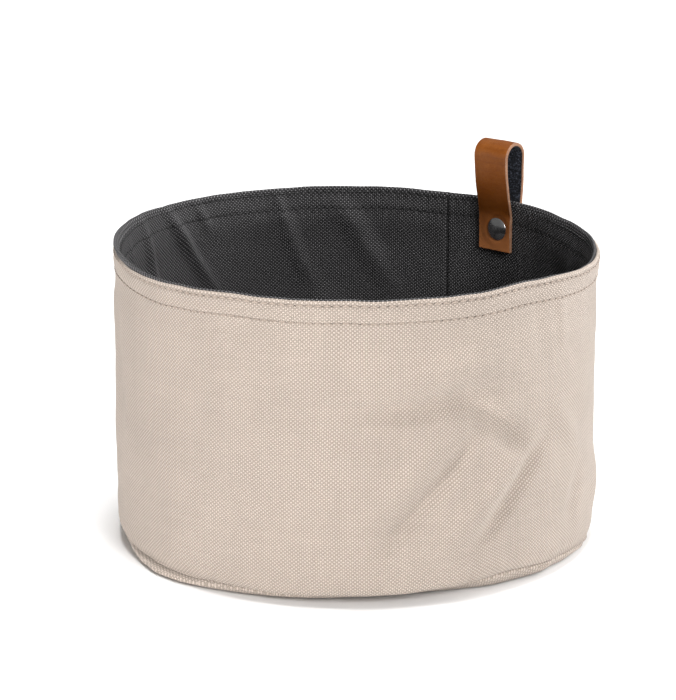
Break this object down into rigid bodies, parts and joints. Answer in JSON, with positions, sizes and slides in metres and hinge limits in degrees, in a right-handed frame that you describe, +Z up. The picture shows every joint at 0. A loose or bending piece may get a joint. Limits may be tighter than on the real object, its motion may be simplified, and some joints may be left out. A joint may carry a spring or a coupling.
{
  "type": "fabric storage bin",
  "caption": "Round soft storage bin of woven fabric with a dark sewn-in lining, a double-stitched rim and a leather loop riveted over the rim.",
  "frame": {"origin": "centre of the flat underside, at floor level", "axes": "+Z up, +Y from the middle of the bin towards the leather loop, +X to the right when facing the loop"},
  "size_m": [0.25, 0.2546, 0.189],
  "materials": {
    "outer_fabric": "matt heavy plain weave, beige",
    "lining_fabric": "matt heavy plain weave, charcoal",
    "outer_thread": "spun polyester sewing thread, beige",
    "lining_thread": "spun polyester sewing thread, charcoal",
    "loop_leather": "tan top grain, satin, dark flesh side",
    "rivet_metal": "polished gunmetal plating"
  },
  "bodies": {
    "bin": {"outer_wall": "outer_fabric", "outer_base": "outer_fabric", "lining_wall": "lining_fabric", "lining_base": "lining_fabric", "upper_thread_outside": "outer_thread", "upper_thread_inside": "lining_thread", "lower_thread_outside": "outer_thread", "lower_thread_inside": "lining_thread", "outer_side_seam_thread": "outer_thread", "lining_side_seam_thread": "lining_thread", "outer_base_seam_thread": "outer_thread", "lining_base_seam_thread": "lining_thread", "rivet_post_cap": "rivet_metal", "rivet_socket_cap": "rivet_metal"},
    "loop": {"leather_loop": "loop_leather"}
  },
  "joints": [
    {"name": "loop_swivel", "type": "hinge", "parent": "bin", "child": "loop", "pos_m": [0, 0.1231, 0.1405], "axis": [0, 1, 0], "range_deg": [-30, 30]}
  ]
}
